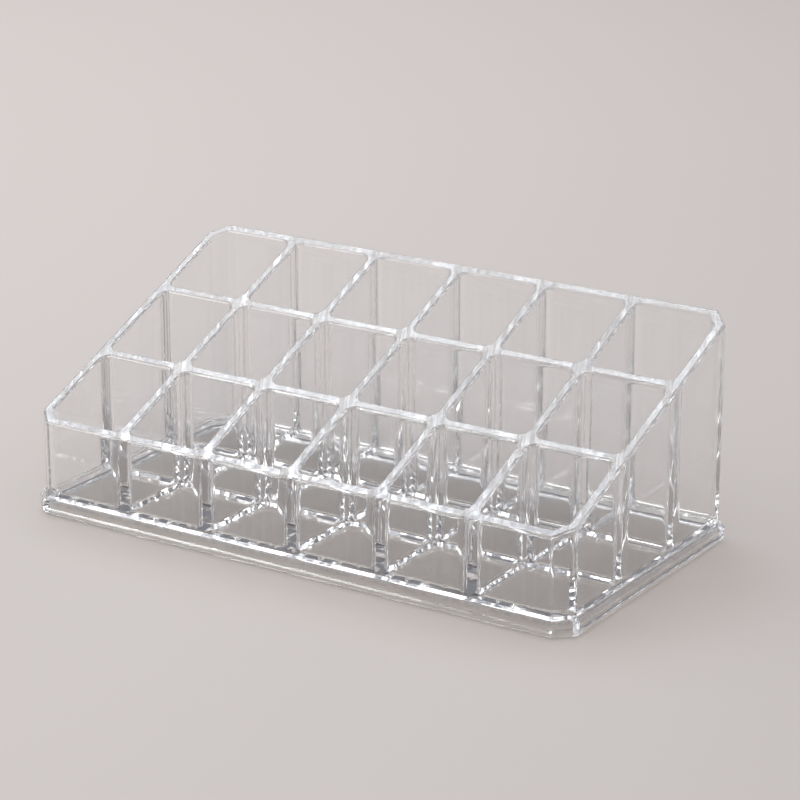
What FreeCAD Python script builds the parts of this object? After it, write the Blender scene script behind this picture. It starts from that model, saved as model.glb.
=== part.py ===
import FreeCAD, Part
import math
import os

# Clear vanity organizer: a bevelled base plate that carries a stepped grid of bonded clear panels.
# Millimetres. The origin is the middle of the underside, +X to the right, +Y to the rear and +Z up.
# The front rim is low and the rear rim is high, and every rim lies in one sloping plane.

# Grid of pockets
columns = 6
rows = 3
cell_width = 24.5
cell_depth = 24.8
inner_wall = 2.9
outer_wall = 2.9

# Heights above the surface that the organizer stands on
base_thickness = 5.8
front_rim_height = 26.5
rear_rim_height = 62.8

# Corners of the wall ring and of each pocket, seen from above
corner_chamfer = 4.6
corner_fillet = 2.2

# Edge of the base plate
base_overhang = 1.6
base_corner_chamfer = 5.4
base_bevel_height = 1.8
base_bevel_land = 0.2
base_foot_round = 2.0

# Hollow underside of the base plate: its floor, the skirt that it stands on and the round between them
floor_thickness = 2.0
skirt_wall = 2.9
recess_round = 0.6

# Bonded joints: the walls sit in grooves of the base, and flared panel ends sit in housings
seat_depth = 0.6
housing_depth = 0.9

# Cement fillet round each pocket's floor, at 45 degrees, and the thickness that its upper edge keeps
foot_fillet = 0.8
foot_lip = 0.2

# How far cutting tools run past what they cut
overrun = 5.0

# Worked-out sizes
inner_half_x = (columns * cell_width + (columns - 1) * inner_wall) / 2
inner_half_y = (rows * cell_depth + (rows - 1) * inner_wall) / 2
half_x = inner_half_x + outer_wall
half_y = inner_half_y + outer_wall
offset_leg_share = 2 - math.sqrt(2)
inner_chamfer = corner_chamfer - outer_wall * offset_leg_share
housing_half = inner_wall / 2 + corner_fillet
seat_z = base_thickness - seat_depth
skirt_height = base_thickness - base_bevel_height
rim_slope = (rear_rim_height - front_rim_height) / (2 * half_y)


def rim_height(y):
    """Height of the sloping rim plane above the table."""
    return front_rim_height + rim_slope * (y + half_y)


tool_top = rim_height(half_y + overrun)


def prism(points, bottom, top):
    """Upright solid over a polygon of (x, y) points."""
    corners = [FreeCAD.Vector(x, y, bottom) for x, y in points]
    face = Part.Face(Part.makePolygon(corners + corners[:1]))
    return face.extrude(FreeCAD.Vector(0, 0, top - bottom))


def housing_tool(x_range, y_range):
    """Cutter for a full-height housing between two x values and two y values, given in any order."""
    x_low, x_high = sorted(x_range)
    y_low, y_high = sorted(y_range)
    bottom = seat_z - overrun
    corner = FreeCAD.Vector(x_low, y_low, bottom)
    return Part.makeBox(x_high - x_low, y_high - y_low, tool_top - bottom, corner)


def octagon(half_length, half_depth, leg):
    """Rectangle about the origin with its four corners cut off."""
    points = []
    for x_sign, y_sign in ((1, -1), (1, 1), (-1, 1), (-1, -1)):
        along_x = (x_sign * (half_length - leg), y_sign * half_depth)
        along_y = (x_sign * half_length, y_sign * (half_depth - leg))
        points += [along_x, along_y] if x_sign * y_sign < 0 else [along_y, along_x]
    return points


def rim_envelope():
    """Everything under the sloping rim plane."""
    y_far = half_y + overrun
    x_far = half_x + overrun
    side = [(-y_far, 0), (y_far, 0), (y_far, rim_height(y_far)), (-y_far, rim_height(-y_far))]
    corners = [FreeCAD.Vector(-x_far, y, z) for y, z in side]
    face = Part.Face(Part.makePolygon(corners + corners[:1]))
    return face.extrude(FreeCAD.Vector(2 * x_far, 0, 0))


envelope = rim_envelope()


def under_rim(shape):
    """The one solid that is left of a wall blank below the rim plane."""
    return shape.common(envelope).Solids[0]


def column_left(column):
    """Left edge of a pocket column, counted from 0 at the left."""
    return -inner_half_x + column * (cell_width + inner_wall)


def row_front(row):
    """Front edge of a pocket row, counted from 0 at the front."""
    return -inner_half_y + row * (cell_depth + inner_wall)


def divider_x(number):
    """Middle of a divider, counted from 1 at the left."""
    return column_left(number) - inner_wall / 2


def partition_y(number):
    """Middle of a line of partitions, counted from 1 at the front."""
    return row_front(number) - inner_wall / 2


def pocket_wire(column, row, inset, z):
    """Outline of one pocket: filleted corners, but a chamfer at a corner of the whole organizer."""
    x_low = column_left(column) + inset
    x_high = x_low + cell_width - 2 * inset
    y_low = row_front(row) + inset
    y_high = y_low + cell_depth - 2 * inset
    radius = corner_fillet - inset
    leg = inner_chamfer - inset * offset_leg_share
    middle = radius * (1 - math.sqrt(0.5))
    ends = []
    for x, y, x_in, y_in in ((x_low, y_low, 1, 1), (x_high, y_low, -1, 1),
                             (x_high, y_high, -1, -1), (x_low, y_high, 1, -1)):
        at_side = column == (0 if x_in > 0 else columns - 1)
        at_end = row == (0 if y_in > 0 else rows - 1)
        cut = leg if at_side and at_end else radius
        on_x = FreeCAD.Vector(x + x_in * cut, y, z)
        on_y = FreeCAD.Vector(x, y + y_in * cut, z)
        first, last = (on_y, on_x) if x_in * y_in > 0 else (on_x, on_y)
        bend = FreeCAD.Vector(x + x_in * middle, y + y_in * middle, z)
        corner = Part.LineSegment(first, last) if at_side and at_end else Part.Arc(first, bend, last)
        ends.append((first, corner, last))
    edges = []
    for place, (first, corner, last) in enumerate(ends):
        edges.append(corner.toShape())
        edges.append(Part.LineSegment(last, ends[(place + 1) % len(ends)][0]).toShape())
    return Part.Wire(edges)


def pocket_pad(column, row):
    """Raised floor of one pocket, which fills the gap between the grooves and has a filleted edge."""
    pad_face = Part.Face(pocket_wire(column, row, 0, seat_z))
    pad = pad_face.extrude(FreeCAD.Vector(0, 0, seat_depth + foot_fillet))
    dish_face = Part.Face(pocket_wire(column, row, foot_lip, base_thickness))
    dish = dish_face.extrude(FreeCAD.Vector(0, 0, foot_fillet + overrun))
    low_edges = [edge for edge in dish.Edges if edge.BoundBox.ZMax < base_thickness + foot_fillet]
    return pad.cut(dish.makeChamfer(foot_fillet, low_edges))


def underside_recess():
    """The hollow under the base plate, rounded where the floor turns down into the skirt."""
    leg = base_corner_chamfer - skirt_wall * offset_leg_share
    outline = octagon(half_x + base_overhang - skirt_wall, half_y + base_overhang - skirt_wall, leg)
    ceiling = base_thickness - floor_thickness
    hollow = prism(outline, -overrun, ceiling)
    top_edges = [edge for edge in hollow.Edges if edge.BoundBox.ZMin > ceiling / 2]
    return hollow.makeFillet(recess_round, top_edges)


def base_plate():
    """Floor on a hollow skirt, with a bevelled top edge, a rounded foot and a groove for every wall."""
    base_half_x = half_x + base_overhang
    base_half_y = half_y + base_overhang
    low_ring = octagon(base_half_x, base_half_y, base_corner_chamfer)
    skirt = prism(low_ring, 0, skirt_height)
    foot_edges = [edge for edge in skirt.Edges if edge.BoundBox.ZMax < skirt_height / 2]
    skirt = skirt.makeFillet(base_foot_round, foot_edges)
    bevel_run = base_overhang - base_bevel_land
    bevel_leg = base_corner_chamfer - bevel_run * offset_leg_share
    high_ring = octagon(base_half_x - bevel_run, base_half_y - bevel_run, bevel_leg)
    rings = []
    for outline, z in ((low_ring, skirt_height), (high_ring, base_thickness)):
        corners = [FreeCAD.Vector(x, y, z) for x, y in outline]
        rings.append(Part.makePolygon(corners + corners[:1]))
    plate = skirt.fuse(Part.makeLoft(rings, True, True))
    plate = plate.cut(prism(octagon(half_x, half_y, corner_chamfer), seat_z, base_thickness + overrun))
    pads = [pocket_pad(column, row) for column in range(columns) for row in range(rows)]
    return plate.fuse(pads).cut(underside_recess()).removeSplitter().Solids[0]


def front_or_rear_wall(y_sign):
    """Long outer wall with mitred ends and a housing for each divider."""
    outer_x = half_x - corner_chamfer
    inner_x = inner_half_x - inner_chamfer
    outer_y = y_sign * half_y
    inner_y = y_sign * inner_half_y
    outline = [(-outer_x, outer_y), (outer_x, outer_y), (inner_x, inner_y), (-inner_x, inner_y)]
    wall = prism(outline, seat_z, tool_top)
    depth_range = (inner_y - y_sign * overrun, inner_y + y_sign * housing_depth)
    for number in range(1, columns):
        x = divider_x(number)
        wall = wall.cut(housing_tool((x - housing_half, x + housing_half), depth_range))
    return under_rim(wall)


def side_wall(x_sign):
    """Sloping outer wall with mitred ends and a housing for each line of partitions."""
    outer_y = half_y - corner_chamfer
    inner_y = inner_half_y - inner_chamfer
    outer_x = x_sign * half_x
    inner_x = x_sign * inner_half_x
    outline = [(outer_x, -outer_y), (outer_x, outer_y), (inner_x, inner_y), (inner_x, -inner_y)]
    wall = prism(outline, seat_z, tool_top)
    depth_range = (inner_x - x_sign * overrun, inner_x + x_sign * housing_depth)
    for number in range(1, rows):
        y = partition_y(number)
        wall = wall.cut(housing_tool(depth_range, (y - housing_half, y + housing_half)))
    return under_rim(wall)


def corner_panel(x_sign, y_sign):
    """Narrow panel across one corner, mitred to its two neighbours."""
    outline = [
        (x_sign * (half_x - corner_chamfer), y_sign * half_y),
        (x_sign * half_x, y_sign * (half_y - corner_chamfer)),
        (x_sign * inner_half_x, y_sign * (inner_half_y - inner_chamfer)),
        (x_sign * (inner_half_x - inner_chamfer), y_sign * inner_half_y),
    ]
    return under_rim(prism(outline, seat_z, tool_top))


def flared_panel(start, length, turn):
    """Inner panel blank from one pocket face to another, its ends filleted out into housed heads.

    It is drawn along +Y from the origin, then turned about Z and moved to its start.
    """
    side_x = inner_wall / 2
    middle = corner_fillet * (1 - math.sqrt(0.5))
    edges = []

    def run(first, last):
        edges.append(Part.LineSegment(first, last).toShape())

    def at(x, y):
        return FreeCAD.Vector(x, y, seat_z)

    for x_sign, near, along in ((1, 0, 1), (-1, length, -1)):
        far = length - near
        head_x = x_sign * housing_half
        panel_x = x_sign * side_x
        run(at(-head_x, near - along * housing_depth), at(head_x, near - along * housing_depth))
        run(at(head_x, near - along * housing_depth), at(head_x, near))
        for wall_y, into in ((near, along), (far, -along)):
            tangent_head = at(head_x, wall_y)
            tangent_panel = at(panel_x, wall_y + into * corner_fillet)
            bend = at(panel_x + x_sign * middle, wall_y + into * middle)
            ends = (tangent_head, tangent_panel) if into == along else (tangent_panel, tangent_head)
            edges.append(Part.Arc(ends[0], bend, ends[1]).toShape())
        run(at(panel_x, near + along * corner_fillet), at(panel_x, far - along * corner_fillet))
        run(at(head_x, far), at(head_x, far + along * housing_depth))
    outline = Part.Wire(Part.__sortEdges__(edges))
    blank = Part.Face(outline).extrude(FreeCAD.Vector(0, 0, tool_top - seat_z))
    blank.rotate(FreeCAD.Vector(0, 0, 0), FreeCAD.Vector(0, 0, 1), turn)
    blank.translate(FreeCAD.Vector(start[0], start[1], 0))
    return blank


def divider(number):
    """Front-to-back panel, housed in the front and rear walls, with a housing for each partition."""
    x = divider_x(number)
    panel = flared_panel((x, -inner_half_y), 2 * inner_half_y, 0)
    for line in range(1, rows):
        y = partition_y(line)
        for x_sign in (1, -1):
            face_x = x + x_sign * inner_wall / 2
            depth_range = (face_x - x_sign * housing_depth, face_x + x_sign * overrun)
            panel = panel.cut(housing_tool(depth_range, (y - housing_half, y + housing_half)))
    return under_rim(panel)


def partition(line, column):
    """Short cross panel between two dividers, or between a divider and a side wall."""
    start = (column_left(column), partition_y(line))
    return under_rim(flared_panel(start, cell_width, -90))


pieces = {
    "base_plate": base_plate(),
    "front_wall": front_or_rear_wall(-1),
    "rear_wall": front_or_rear_wall(1),
    "left_wall": side_wall(-1),
    "right_wall": side_wall(1),
    "front_left_corner": corner_panel(-1, -1),
    "front_right_corner": corner_panel(1, -1),
    "rear_left_corner": corner_panel(-1, 1),
    "rear_right_corner": corner_panel(1, 1),
}
for number in range(1, columns):
    pieces[f"divider_{number}"] = divider(number)
for line in range(1, rows):
    place = "front" if line == 1 else "rear" if line == rows - 1 else f"middle_{line}"
    for column in range(columns):
        pieces[f"{place}_partition_{column + 1}"] = partition(line, column)

os.makedirs("parts", exist_ok=True)
for name, solid in pieces.items():
    solid.exportStep(f"parts/{name}.step")
    print(name, "valid" if solid.isValid() else "not valid", round(solid.Volume, 1), "mm3")
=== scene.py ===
# %% [markdown]
# # A clear, stepped vanity organizer
# The real object is a rigid clear plastic tray with eighteen open pockets in three rising rows. Its
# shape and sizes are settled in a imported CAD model, which is loaded first and never moved. This lesson
# dresses that frame: it rounds the edges that fingers touch, lets light cross the bonded joints, and
# gives the plastic its finish.

# %% Load the fixed frame
import math

import bmesh
import bpy
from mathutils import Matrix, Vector
from mathutils.bvhtree import BVHTree


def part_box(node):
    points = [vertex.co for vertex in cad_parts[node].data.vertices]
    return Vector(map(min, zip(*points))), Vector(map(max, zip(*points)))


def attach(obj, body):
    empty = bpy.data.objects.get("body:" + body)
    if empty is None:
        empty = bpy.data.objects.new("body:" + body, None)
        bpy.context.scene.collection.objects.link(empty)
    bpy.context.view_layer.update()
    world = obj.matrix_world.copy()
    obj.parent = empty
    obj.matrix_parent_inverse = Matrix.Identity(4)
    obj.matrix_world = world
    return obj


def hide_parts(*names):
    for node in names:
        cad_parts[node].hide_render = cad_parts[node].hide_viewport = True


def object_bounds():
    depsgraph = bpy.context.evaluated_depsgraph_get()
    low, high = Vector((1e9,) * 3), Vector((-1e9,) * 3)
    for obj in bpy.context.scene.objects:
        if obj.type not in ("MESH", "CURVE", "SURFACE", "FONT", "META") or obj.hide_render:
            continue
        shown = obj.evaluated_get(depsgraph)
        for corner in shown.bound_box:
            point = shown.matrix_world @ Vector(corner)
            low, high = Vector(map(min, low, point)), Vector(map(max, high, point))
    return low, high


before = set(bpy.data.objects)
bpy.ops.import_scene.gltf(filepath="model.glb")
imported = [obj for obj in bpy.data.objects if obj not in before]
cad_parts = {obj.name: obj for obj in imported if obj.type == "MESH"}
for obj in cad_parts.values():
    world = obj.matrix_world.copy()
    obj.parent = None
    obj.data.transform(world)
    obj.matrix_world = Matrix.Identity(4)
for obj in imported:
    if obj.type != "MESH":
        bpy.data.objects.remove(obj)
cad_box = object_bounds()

scene = bpy.context.scene
mm = 0.001
cad_size_mm = [round(side / mm, 1) for side in cad_box[1] - cad_box[0]]
print("frame:", len(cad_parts), "nodes, box in mm", cad_size_mm)

# %% [markdown]
# ## The camera
# The picture was taken with a long lens from the right of the front and a little above the rim. A camera
# can be placed by eye, but a fit to the corners of the organizer is steadier: the numbers here come from
# such a fit.

# %% Camera
view_azimuth = math.radians(32.93)
view_elevation = math.radians(18.50)
view_distance = 775.5 * mm
view_target = Vector((10.00, -4.11, 38.38)) * mm
picture_width_px = 800
focal_length_px = 2933.3
nearest_seen = 10 * mm

away = Vector((
    math.sin(view_azimuth) * math.cos(view_elevation),
    -math.cos(view_azimuth) * math.cos(view_elevation),
    math.sin(view_elevation),
))
bpy.ops.object.camera_add(
    location=view_target + away * view_distance,
    rotation=(-away).to_track_quat("-Z", "Y").to_euler(),
)
camera = bpy.context.object
camera.name = "table_camera"
camera.data.lens = focal_length_px * camera.data.sensor_width / picture_width_px
camera.data.clip_start = nearest_seen
scene.camera = camera
print("camera:", round(camera.data.lens, 1), "mm lens")

# %% [markdown]
# ## Shader maths
# A finish is a graph of nodes, and a graph is hard to read as code. The first class wraps one output
# socket, so that sums and products of sockets are written as ordinary expressions, each of which adds
# its Math node. The second holds the graph, and its one method adds every other kind of node.

# %% Values and their nodes
class Value:
    """One output socket, which takes part in sums and products."""

    def __init__(self, nodes, socket):
        self.nodes = nodes
        self.socket = socket

    def math(self, operation, first, second):
        """Adds the Math node of one operation."""
        return self.nodes.add("ShaderNodeMath", {"operation": operation}, {0: first, 1: second}, 0)

    def __add__(self, other):
        return self.math("ADD", self, other)

    def __radd__(self, other):
        return self.math("ADD", other, self)

    def __sub__(self, other):
        return self.math("SUBTRACT", self, other)

    def __rsub__(self, other):
        return self.math("SUBTRACT", other, self)

    def __mul__(self, other):
        return self.math("MULTIPLY", self, other)

    def __rmul__(self, other):
        return self.math("MULTIPLY", other, self)


class Nodes:
    """The node graph of a finish or of the room."""

    def __init__(self, owner, output_kind):
        owner.use_nodes = True
        self.owner = owner
        self.tree = owner.node_tree
        self.tree.nodes.clear()
        self.surface = self.tree.nodes.new(output_kind).inputs["Surface"]

    def add(self, kind, settings, sockets, output):
        """Adds a node, its settings first and then its socket values or links, and returns one output."""
        node = self.tree.nodes.new(kind)
        for name, value in settings.items():
            if name == "stops":
                for stop, colour in zip(node.color_ramp.elements, value):
                    stop.color = colour
            else:
                setattr(node, name, value)
        for name, value in sockets.items():
            if isinstance(value, Value):
                self.tree.links.new(value.socket, node.inputs[name])
            else:
                node.inputs[name].default_value = value
        return Value(self, node.outputs[output])

    def show(self, shader):
        """Makes a shader the one that is seen, and returns the finish or the room."""
        self.tree.links.new(shader.socket, self.surface)
        print("nodes:", self.owner.name, "has", len(self.tree.nodes))
        return self.owner


def new_finish(name):
    """The empty graph of a new finish."""
    return Nodes(bpy.data.materials.new(name), "ShaderNodeOutputMaterial")

# %% [markdown]
# ## The clear plastic
# Moulded clear plastic is never a perfect window. Its walls wave a little where they cooled, and they
# carry a light haze of handling. Both are far too shallow to model, so they come from noise on object
# coordinates: a long wave for the normal, and a grain for the tint and the roughness. Lamps pass through
# the plastic almost unbent, so a ray that asks for light crosses it as a pale filter instead of stopping
# at it.

# %% Clear plastic
plastic_index = 1.49
lamp_filter = (0.925, 0.917, 0.91, 1)
noise_middle = 0.5
grain_contrast = 4.5
grain_detail = 4.0
wave_detail = 2.0
height_in_metres = 1.0
full_strength = 1.0
# The numbers of a Mix node's sockets when it mixes colours.
mix_factor, mix_first, mix_second, mix_colour = 0, 6, 7, 2


def clear_plastic(name, tints, clearness, haze, grain, wave, wave_height):
    """Clear plastic with ranges of tint and roughness over a grain, and waves of a length and a height."""
    finish = new_finish(name)
    place = finish.add("ShaderNodeTexCoord", {}, {}, "Object")
    speckle = finish.add(
        "ShaderNodeTexNoise", {}, {"Vector": place, "Scale": 1 / grain, "Detail": grain_detail}, "Fac",
    )
    ripple = finish.add(
        "ShaderNodeTexNoise", {}, {"Vector": place, "Scale": 1 / wave, "Detail": wave_detail}, "Fac",
    )
    # On the rims and the bevel this mottle of tint is painted sparkle and reflection; on the walls it is
    # only the plastic's own faint tone.
    mottle = (speckle - noise_middle) * grain_contrast + noise_middle
    tint = finish.add(
        "ShaderNodeMix", {"data_type": "RGBA"},
        {mix_factor: mottle, mix_first: tints[0], mix_second: tints[1]}, mix_colour,
    )
    relief = finish.add(
        "ShaderNodeBump", {},
        {"Height": ripple * wave_height, "Distance": height_in_metres, "Strength": full_strength}, "Normal",
    )
    roughness = haze[0] + (haze[1] - haze[0]) * speckle
    body = finish.add(
        "ShaderNodeBsdfPrincipled", {},
        {"Base Color": tint, "Roughness": roughness, "IOR": plastic_index, "Normal": relief,
         "Transmission Weight": clearness}, "BSDF",
    )
    lamp_ray = finish.add("ShaderNodeLightPath", {}, {}, "Is Shadow Ray")
    through = finish.add("ShaderNodeBsdfTransparent", {}, {"Color": lamp_filter}, "BSDF")
    return finish.show(finish.add("ShaderNodeMixShader", {}, {0: lamp_ray, 1: body, 2: through}, "Shader"))


wall_plastic = clear_plastic(
    "wall_plastic", tints=((0.98, 0.987, 0.991, 1), (0.99, 0.993, 0.995, 1)), clearness=1.0,
    haze=(0.0, 0.03), grain=11 * mm, wave=17 * mm, wave_height=0.02 * mm,
)

# %% [markdown]
# ## Satin rims and a bevel with painted sparkle
# The tops of the rims and the bevel of the base are not polished like the walls. In the picture they are
# a cool, mottled white, which is partly sparkle and reflection. The same plastic serves with a fine grain,
# a stronger range of roughness and a little less clearness, which leaves some light in the surface itself.
# Its stronger range of tint paints the sparkle in: white flecks for glints, blue-grey flecks for
# reflections.

# %% Rims and bevel
# The tint ranges of the rims and the bevel are painted sparkle: the white end stands for glints and the
# blue-grey end for reflections.
painted_sparkle_white = (0.97, 0.98, 1.0, 1)
rim_plastic = clear_plastic(
    "rim_plastic", tints=((0.55, 0.6, 0.66, 1), painted_sparkle_white), clearness=0.9,
    haze=(0.03, 0.16), grain=0.9 * mm, wave=1.4 * mm, wave_height=0.05 * mm,
)
bevel_plastic = clear_plastic(
    "bevel_plastic", tints=((0.7, 0.73, 0.77, 1), painted_sparkle_white), clearness=0.96,
    haze=(0.02, 0.16), grain=1.1 * mm, wave=1.1 * mm, wave_height=0.03 * mm,
)

# %% [markdown]
# ## The bonded joints
# Where two panels are bonded, the solvent melts them into one, and light crosses without a mirror image.
# Two clear faces pressed together would show every joint, so the faces in a joint get a finish that
# light ignores.

# %% Bond
bond = new_finish("bond")
bond_plastic = bond.show(bond.add("ShaderNodeBsdfTransparent", {}, {}, "BSDF"))

# %% [markdown]
# ## Panels from the frame
# The CAD meshes are loose triangles, so each panel starts as a copy with its doubles welded and its flat
# faces made whole. It is cut at the two heights where the base lets go of it, so that every face is
# either in a joint or open.

# %% Heights of the base
weld_distance = 0.002 * mm
wall_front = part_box("front_wall")[0].y
outside_walls = [
    vertex.co.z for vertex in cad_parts["base_plate"].data.vertices
    if vertex.co.y < wall_front - weld_distance
]
base_top = max(outside_walls)
fillet_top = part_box("base_plate")[1].z
print("base lets go at", round(base_top / mm, 2), "and", round(fillet_top / mm, 2), "mm")

# %% Copy and cut
flat_angle = math.radians(1)


def choose(piece):
    """Selects one piece alone."""
    bpy.ops.object.select_all(action="DESELECT")
    piece.select_set(True)
    bpy.context.view_layer.objects.active = piece


def edit_all(piece):
    """Opens one piece for editing, with all of it selected."""
    choose(piece)
    bpy.ops.object.mode_set(mode="EDIT")
    bpy.ops.mesh.select_all(action="SELECT")


def merged_copy(node):
    """A new piece with a CAD node's mesh, welded and with whole flat faces."""
    piece = bpy.data.objects.new(f"clear_{node}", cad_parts[node].data.copy())
    piece.data.materials.clear()
    scene.collection.objects.link(piece)
    edit_all(piece)
    bpy.ops.mesh.customdata_custom_splitnormals_clear()
    bpy.ops.mesh.remove_doubles(threshold=weld_distance)
    bpy.ops.mesh.dissolve_limited(angle_limit=flat_angle)
    if node != "base_plate":
        for height in (base_top, fillet_top):
            bpy.ops.mesh.select_all(action="SELECT")
            bpy.ops.mesh.bisect(plane_co=(0, 0, height), plane_no=(0, 0, 1))
    bpy.ops.object.mode_set(mode="OBJECT")
    return piece


pieces = {node: merged_copy(node) for node in sorted(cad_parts)}
base = pieces["base_plate"]
copied_faces = sum(len(piece.data.polygons) for piece in pieces.values())
print("copied:", len(pieces), "pieces,", copied_faces, "faces")

# %% [markdown]
# ## Faces in a joint
# A face lies in a joint if another piece's face is pressed against it. Blender can search for that
# quickly in a tree of all the CAD triangles, so the middle of each face asks the tree what lies within a
# hair's breadth of it.

# %% Search tree of all pieces
corners = []
triangles = []
owners = []
for node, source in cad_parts.items():
    start = len(corners)
    corners += [vertex.co.copy() for vertex in source.data.vertices]
    for face in source.data.polygons:
        triangles.append([start + index for index in face.vertices])
        owners.append(node)
neighbours = BVHTree.FromPolygons(corners, triangles)
print("search tree:", len(triangles), "triangles")

# %% Find the faces in a joint
bond_reach = 0.06 * mm
face_to_face = -0.9
finishes = (wall_plastic, rim_plastic, bevel_plastic, bond_plastic)
open_slot, rim_slot, bevel_slot, bond_slot = range(len(finishes))


def bonded_faces(node, mesh):
    """Numbers of the faces of a piece that lie against another piece."""
    mesh.calc_loop_triangles()
    largest = {}
    for triangle in mesh.loop_triangles:
        kept = largest.get(triangle.polygon_index)
        if kept is None or triangle.area > kept.area:
            largest[triangle.polygon_index] = triangle
    found = set()
    for number, triangle in largest.items():
        middle = sum((mesh.vertices[index].co for index in triangle.vertices), Vector()) / 3
        for _, facing, other, _ in neighbours.find_nearest_range(middle, bond_reach):
            if owners[other] != node and facing.dot(mesh.polygons[number].normal) < face_to_face:
                found.add(number)
                break
    return found


for node, piece in pieces.items():
    for finish in finishes:
        piece.data.materials.append(finish)
    in_joint = bonded_faces(node, piece.data)
    for face in piece.data.polygons:
        face.material_index = bond_slot if face.index in in_joint else open_slot
    print("joints:", node, len(in_joint), "of", len(piece.data.polygons), "faces")

# %% [markdown]
# ## Rounded rims
# A moulded edge is never a knife edge: a small round catches the light and draws the bright line that
# shows each rim. The partitions are rounder than the rest, so that only a narrow strip of their tops
# stays flat. Only edges between two open faces are rounded, because an edge inside a joint is not there
# on the real object. The slivers that a bevel leaves at its ends are welded away.

# %% Round the rims
edge_round = 0.8 * mm
partition_round = 1.3 * mm
edge_segments = 5
sharp_angle = math.radians(40)
same_plane = 0.999
front_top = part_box("front_wall")[1]
rear_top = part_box("rear_wall")[1]
rim_slope = math.atan2(rear_top.z - front_top.z, rear_top.y - front_top.y)
rim_normal = Vector((0, -math.sin(rim_slope), math.cos(rim_slope)))


def round_edges(piece, chosen, offset, segments):
    """Bevels those edges between open faces that a test chooses, and counts them."""
    edit_all(piece)
    bpy.ops.mesh.select_mode(type="EDGE")
    bpy.ops.mesh.select_all(action="DESELECT")
    shape = bmesh.from_edit_mesh(piece.data)
    for edge in shape.edges:
        if len(edge.link_faces) == 2 and all(face.material_index == open_slot for face in edge.link_faces):
            edge.select = chosen(edge)
    bmesh.update_edit_mesh(piece.data)
    count = sum(edge.select for edge in shape.edges)
    if count:
        bpy.ops.mesh.bevel(offset=offset, segments=segments, affect="EDGES", clamp_overlap=True)
        bpy.ops.mesh.select_all(action="SELECT")
        bpy.ops.mesh.remove_doubles(threshold=weld_distance)
    bpy.ops.object.mode_set(mode="OBJECT")
    return count


def on_rim(edge):
    """Whether a sharp edge lies in the sloping plane of the rims."""
    in_plane = any(face.normal.dot(rim_normal) > same_plane for face in edge.link_faces)
    return in_plane and edge.calc_face_angle_signed() > sharp_angle


for node, piece in pieces.items():
    offset = partition_round if "partition" in node else edge_round
    print("rounded:", node, round_edges(piece, on_rim, offset, edge_segments), "rim edges")

# %% [markdown]
# ## The base's corners
# The skirt of the base turns each cut corner over a small round. A bevel makes it, on the edges that
# climb the outside of the skirt where two of its flats meet.

# %% Corners of the base
corner_round = 1.5 * mm
corner_segments = 3
corner_turn = math.radians(45)
half_turn = corner_turn / 2
corner_run = corner_round * math.tan(half_turn)
least_turn = math.radians(5)
climb_share = 0.3


def on_base_corner(edge):
    """Whether an edge climbs the outside of the base where it turns a corner."""
    low, high = sorted(vertex.co.z for vertex in edge.verts)
    climbs = high - low > climb_share * edge.calc_length() and high < base_top + weld_distance
    return climbs and edge.calc_face_angle_signed() > least_turn


print("rounded: base_plate", round_edges(base, on_base_corner, corner_run, corner_segments), "corner edges")

# %% [markdown]
# ## The base's crease
# Above its rounded foot the skirt has a fine crease, which shows as a bright line. It could be drawn in
# the finish, but a shallow groove bends the light as the real one does. The upright faces of the skirt
# are cut at two heights, and the ring of points at the lower cut is drawn in.

# %% Cut the skirt
crease_width = 0.8 * mm
crease_depth = 0.32 * mm
upright_limit = 0.01
skirt_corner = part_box("base_plate")[1]
skirt_heights = [
    vertex.co.z for vertex in base.data.vertices
    if vertex.co.y > skirt_corner.y - weld_distance
]
crease_low = min(skirt_heights)
crease_middle = crease_low + crease_width / 2
crease_high = crease_low + crease_width

edit_all(base)
bpy.ops.mesh.select_mode(type="FACE")
for height in (crease_middle, crease_high):
    bpy.ops.mesh.select_all(action="DESELECT")
    shape = bmesh.from_edit_mesh(base.data)
    for face in shape.faces:
        upright = abs(face.normal.z) < upright_limit
        outward = face.normal.dot(face.calc_center_median()) > 0
        face.select = upright and outward and face.material_index == open_slot
    bmesh.update_edit_mesh(base.data)
    bpy.ops.mesh.bisect(plane_co=(0, 0, height), plane_no=(0, 0, 1), threshold=weld_distance)
print("crease: cut at", round(crease_middle / mm, 2), "and", round(crease_high / mm, 2), "mm")

# %% Draw the crease in
bpy.ops.mesh.select_mode(type="VERT")
bpy.ops.mesh.select_all(action="DESELECT")
shape = bmesh.from_edit_mesh(base.data)
for vertex in shape.verts:
    vertex.select = abs(vertex.co.z - crease_middle) < weld_distance
bmesh.update_edit_mesh(base.data)
drawn_in = sum(vertex.select for vertex in shape.verts)
bpy.ops.transform.resize(
    value=(1 - crease_depth / skirt_corner.x, 1 - crease_depth / skirt_corner.y, 1),
    center_override=(0, 0, 0),
)
bpy.ops.object.mode_set(mode="OBJECT")
print("crease:", drawn_in, "points drawn in")

# %% [markdown]
# ## The walls' corners
# The outer walls turn into the corner panels over the same small round. Its edge belongs to two panels,
# so neither can be bevelled alone. Each panel is cut upright close to the edge instead, and the points
# of its outer face are pushed in onto the arc that both panels share. The push fades out over the depth
# of the rim's own round.

# %% Ends of the outer panels
wall_corner = Vector((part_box("right_wall")[1].x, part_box("rear_wall")[1].y, 0))
front_face = [
    vertex.co.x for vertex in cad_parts["front_wall"].data.vertices
    if vertex.co.y < wall_front + weld_distance
]
corner_leg = wall_corner.x - max(front_face)


def ring_point(x_sign, y_sign, on_long_wall):
    """The upright edge at one end of a long wall, or at one end of a side wall."""
    cut = Vector((corner_leg, 0, 0)) if on_long_wall else Vector((0, corner_leg, 0))
    return (wall_corner - cut) * Vector((x_sign, y_sign, 0))


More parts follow.
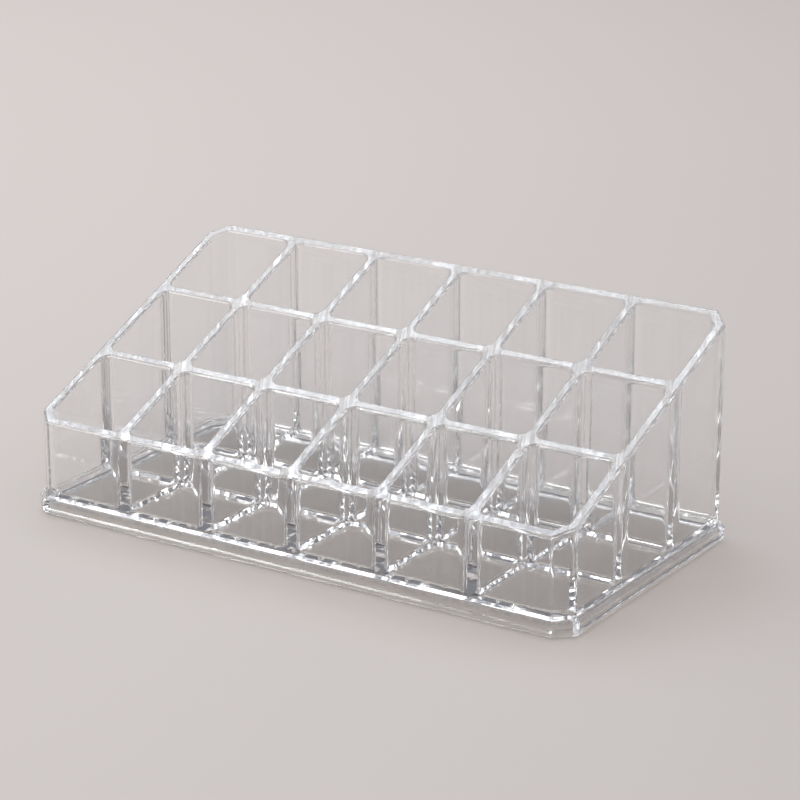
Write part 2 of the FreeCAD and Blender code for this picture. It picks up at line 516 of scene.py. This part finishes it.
panel_ends = {
    "front_wall": (ring_point(-1, -1, True), ring_point(1, -1, True)),
    "front_right_corner": (ring_point(1, -1, True), ring_point(1, -1, False)),
    "right_wall": (ring_point(1, -1, False), ring_point(1, 1, False)),
    "rear_right_corner": (ring_point(1, 1, False), ring_point(1, 1, True)),
    "rear_wall": (ring_point(1, 1, True), ring_point(-1, 1, True)),
    "rear_left_corner": (ring_point(-1, 1, True), ring_point(-1, 1, False)),
    "left_wall": (ring_point(-1, 1, False), ring_point(-1, -1, False)),
    "front_left_corner": (ring_point(-1, -1, False), ring_point(-1, -1, True)),
}
print("outer panels:", len(panel_ends), "with corners cut by", round(corner_leg / mm, 2), "mm")

# %% Round the ends
def cut_panel_end(piece, edge_place, along):
    """Cuts a panel upright where the flats of its round begin and meet."""
    edit_all(piece)
    for step in range(corner_segments):
        reach = corner_run - corner_round * math.sin(half_turn * step / corner_segments)
        bpy.ops.mesh.select_all(action="SELECT")
        bpy.ops.mesh.bisect(plane_co=edge_place + along * reach, plane_no=along, threshold=weld_distance)
    bpy.ops.object.mode_set(mode="OBJECT")


def round_panel_end(piece, edge_place, along, outward):
    """Gives one panel its half of the round at an upright edge, and counts the points that moved."""
    cut_panel_end(piece, edge_place, along)
    moved = 0
    for vertex in piece.data.vertices:
        reach = (vertex.co - edge_place).dot(along)
        depth = (edge_place - vertex.co).dot(outward)
        above_base = vertex.co.z > base_top - weld_distance
        if reach > corner_run + weld_distance or depth > edge_round or not above_base:
            continue
        if reach < depth * math.tan(half_turn) + weld_distance:
            inward = along * math.sin(half_turn) - outward * math.cos(half_turn)
            push = corner_round / math.cos(half_turn) - corner_round
        else:
            inward = -outward
            push = corner_round - math.sqrt(corner_round ** 2 - max(corner_run - reach, 0) ** 2)
        vertex.co += inward * push * (1 - depth / edge_round)
        moved += 1
    return moved


for node, (left_end, right_end) in panel_ends.items():
    along = (right_end - left_end).normalized()
    outward = along.cross(Vector((0, 0, 1)))
    moved = round_panel_end(pieces[node], left_end, along, outward)
    moved += round_panel_end(pieces[node], right_end, -along, outward)
    print("corner:", node, moved, "points on its rounds")

# %% [markdown]
# ## Which face has which finish
# Satin with painted sparkle covers the tops of the rims. On the rims that run along the length it stays on
# the flat strip, and their rounds are clear, so a thin dark line follows each of them as in the picture.
# The bevel of the base carries the same painted sparkle.

# %% Finish of each face
satin_limit = 0.75
lengthwise_limit = 0.95
lengthwise_words = ("partition", "front_wall", "rear_wall")
bevel_steepest = 0.3
bevel_flattest = 0.95


def finish_slot(node, face):
    """The finish of an open face: painted sparkle on satin rims and on the base's bevel, clear elsewhere.
    """
    if node == "base_plate":
        above_crease = crease_high < face.center.z < base_top
        slopes = bevel_steepest < face.normal.z < bevel_flattest
        return bevel_slot if above_crease and slopes else open_slot
    lengthwise = any(word in node for word in lengthwise_words)
    limit = lengthwise_limit if lengthwise else satin_limit
    return rim_slot if face.normal.dot(rim_normal) > limit else open_slot


finished = [0] * len(finishes)
for node, piece in pieces.items():
    for face in piece.data.polygons:
        if face.material_index == open_slot:
            face.material_index = finish_slot(node, face)
        finished[face.material_index] += 1
print("faces: clear, rim, bevel, bond", finished)

# %% [markdown]
# ## Smooth rounds, flat walls
# The rounds are shaded smooth. Smooth shading alone also bends the large faces beside a round, and a
# bent wall of clear plastic shows at once. Weighted normals let the large faces decide, so the walls
# stay flat.

# %% Shading
smooth_angle = math.radians(38)
large_face_weight = 100

for piece in pieces.values():
    choose(piece)
    bpy.ops.object.shade_smooth_by_angle(angle=smooth_angle)
    bpy.ops.object.modifier_add(type="WEIGHTED_NORMAL")
    weighting = piece.modifiers[-1]
    weighting.keep_sharp = True
    weighting.weight = large_face_weight
    bpy.ops.object.modifier_apply(modifier=weighting.name)
print("shaded:", sum(len(piece.data.polygons) for piece in pieces.values()), "faces")

# %% [markdown]
# ## Joining the frame
# Each clear panel stands for one CAD node, which it hides, and rides on the one body that the
# organizer has.

# %% Ride on the frame
for node, piece in pieces.items():
    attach(piece, "root")
    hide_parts(node)
print("riding:", len(pieces), "pieces on root")

# %% [markdown]
# ## The floor
# Clear plastic shows what is round it. A plain pale floor, a little warm, gives the cool rims something
# to stand out against. A faint cloud in its roughness keeps it from looking printed.

# %% Floor
floor_colour = (0.67, 0.615, 0.58, 1)
floor_size = 12
floor_drop = 0.2 * mm
floor_cloud_scale = 3.0
floor_cloud_detail = 3.0
floor_roughness = 0.55
floor_cloudiness = 0.1

floor_finish = new_finish("pale_floor")
floor_place = floor_finish.add("ShaderNodeTexCoord", {}, {}, "Object")
floor_cloud = floor_finish.add(
    "ShaderNodeTexNoise", {},
    {"Vector": floor_place, "Scale": floor_cloud_scale, "Detail": floor_cloud_detail}, "Fac",
)
floor_body = floor_finish.add(
    "ShaderNodeBsdfPrincipled", {},
    {"Base Color": floor_colour, "Roughness": floor_roughness + floor_cloudiness * floor_cloud}, "BSDF",
)
bpy.ops.object.select_all(action="DESELECT")
bpy.ops.mesh.primitive_plane_add(size=floor_size, location=(0, 0, -floor_drop))
floor = bpy.context.object
floor.name = "floor"
floor.data.materials.append(floor_finish.show(floor_body))

# %% [markdown]
# ## The room
# A dim room that darkens towards the horizon gives the edges of the plastic something dark to bend. A
# ramp on the height of each direction is enough for that.

# %% Room
horizon_light = (0.06, 0.06, 0.075, 1)
zenith_light = (0.42, 0.43, 0.47, 1)

room = Nodes(bpy.data.worlds.new("room"), "ShaderNodeOutputWorld")
direction = room.add("ShaderNodeTexCoord", {}, {}, "Generated")
height = room.add("ShaderNodeSeparateXYZ", {}, {"Vector": direction}, "Z")
sky = room.add("ShaderNodeValToRGB", {"stops": (horizon_light, zenith_light)}, {"Fac": height}, "Color")
scene.world = room.show(room.add("ShaderNodeBackground", {}, {"Color": sky}, "Background"))

# %% [markdown]
# ## The lamps
# Three soft lamps draw the highlights. The large one stands behind the organizer, where the sloping rims
# mirror it to the camera. The other two stand in front, one on each side, and light the bevel, the
# crease and the posts.

# %% Lamps
def soft_lamp(name, place, size, watts):
    """A square soft lamp that faces the organizer."""
    bpy.ops.object.light_add(type="AREA", location=place)
    lamp = bpy.context.object
    lamp.name = name
    lamp.data.size = size
    lamp.data.energy = watts
    lamp.rotation_euler = (view_target - Vector(place)).to_track_quat("-Z", "Y").to_euler()
    print("lamp:", name, watts, "W")


soft_lamp("overhead_lamp", place=(-0.7, 0.5, 1.2), size=1.0, watts=12)
soft_lamp("front_lamp", place=(0.9, -1.2, 1.1), size=0.5, watts=6)
soft_lamp("left_lamp", place=(-1.0, -0.8, 1.0), size=0.5, watts=5)

# %% [markdown]
# ## Light through many walls
# A glance through the organizer crosses a dozen panels, and each has two faces. With Blender's usual
# count of bounces the far panels would turn black, so the counts are raised.

# %% Light paths
plastic_bounces = 40
bond_bounces = 80

scene.cycles.max_bounces = plastic_bounces
scene.cycles.transmission_bounces = plastic_bounces
scene.cycles.glossy_bounces = plastic_bounces
scene.cycles.transparent_max_bounces = bond_bounces
scene.cycles.caustics_refractive = False
scene.cycles.caustics_reflective = False
scene.view_settings.view_transform = "Standard"
print("light paths:", plastic_bounces, "bounces, and", bond_bounces, "through bonds")
